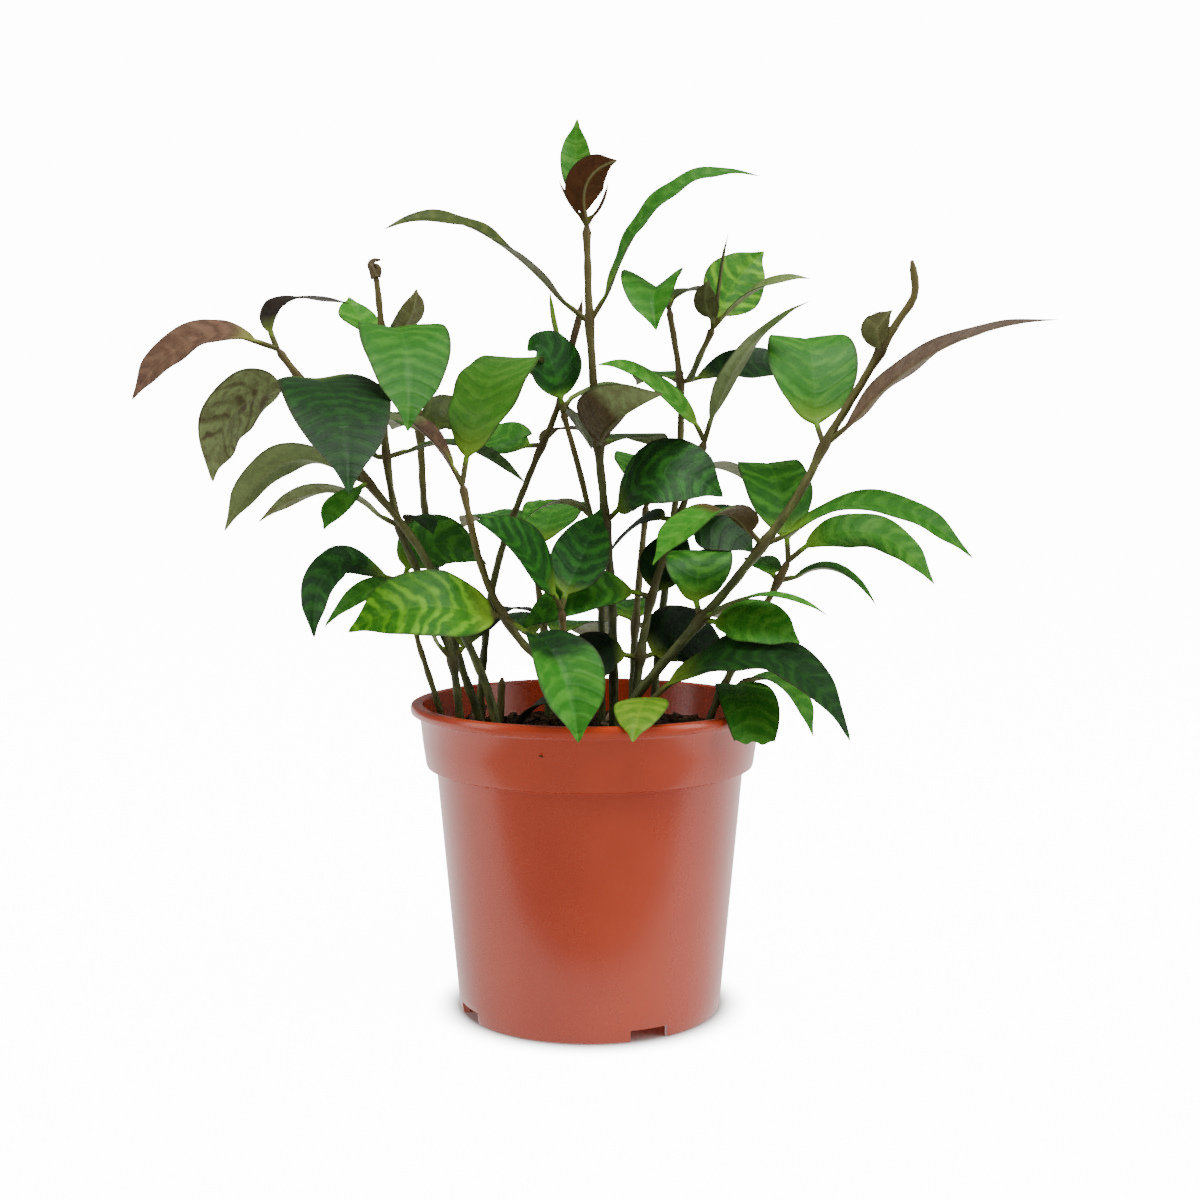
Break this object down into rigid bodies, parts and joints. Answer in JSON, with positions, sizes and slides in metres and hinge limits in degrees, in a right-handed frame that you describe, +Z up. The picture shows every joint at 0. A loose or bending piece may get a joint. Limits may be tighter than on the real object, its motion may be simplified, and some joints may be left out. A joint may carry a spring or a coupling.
{
  "type": "potted lipstick plant",
  "caption": "Bushy trailing houseplant with glossy mottled leaves in opposite pairs on slender upright stems, growing from dark potting mix in a round terracotta-coloured plastic nursery pot.",
  "frame": {"origin": "under the middle of the plant on the surface it stands on, which is also the middle of the pot's foot", "axes": "+Z up, -Y towards the plant's front, +X to its right seen from the front"},
  "size_m": [0.2881, 0.1753, 0.2959],
  "materials": {
    "pot_plastic": "satin",
    "potting_mix": "matte",
    "stem": "satin",
    "leaf": "satin"
  },
  "bodies": {
    "root": {"pot": "pot_plastic", "potting_mix": "potting_mix", "centre_tall_stem": "stem", "centre_tall_leaves_1": "leaf", "centre_tall_leaves_2": "leaf", "centre_tall_leaves_3": "leaf", "centre_tall_leaves_4": "leaf", "centre_left_stem": "stem", "centre_left_leaves_1": "leaf", "centre_left_leaves_2": "leaf", "centre_inner_stem": "stem", "centre_inner_leaves_1": "leaf", "back_tall_stem": "stem", "back_tall_leaves_1": "leaf", "back_tall_leaves_2": "leaf", "side_twig_stem": "stem", "side_twig_leaves_1": "leaf", "centre_right_stem": "stem", "centre_right_leaves_1": "leaf", "centre_right_leaves_2": "leaf", "centre_right_leaves_3": "leaf", "centre_right_leaves_4": "leaf", "far_right_stem": "stem", "far_right_leaves_1": "leaf", "far_right_leaves_2": "leaf", "far_right_leaves_3": "leaf", "far_right_leaves_4": "leaf", "right_low_stem": "stem", "right_low_leaves_1": "leaf", "right_low_leaves_2": "leaf", "right_low_leaves_3": "leaf", "left_tall_stem": "stem", "left_tall_leaves_1": "leaf", "left_tall_leaves_2": "leaf", "left_tall_leaves_3": "leaf", "left_tall_leaves_4": "leaf", "left_bud_stem": "stem", "left_bud_leaves_1": "leaf", "left_bud_leaves_2": "leaf", "far_left_stem": "stem", "far_left_leaves_1": "leaf", "far_left_leaves_2": "leaf", "far_left_leaves_3": "leaf", "front_left_stem": "stem", "front_left_leaves_1": "leaf", "front_left_leaves_2": "leaf", "left_low_stem": "stem", "left_low_leaves_1": "leaf", "cut_stub_stem": "stem", "front_low_stem": "stem", "front_low_leaves_1": "leaf", "front_low_leaves_2": "leaf", "front_right_low_stem": "stem", "front_right_low_leaves_1": "leaf", "back_left_stem": "stem", "back_left_leaves_1": "leaf", "back_left_leaves_2": "leaf", "back_right_stem": "stem", "back_right_leaves_1": "leaf", "back_right_leaves_2": "leaf"}
  },
  "joints": []
}
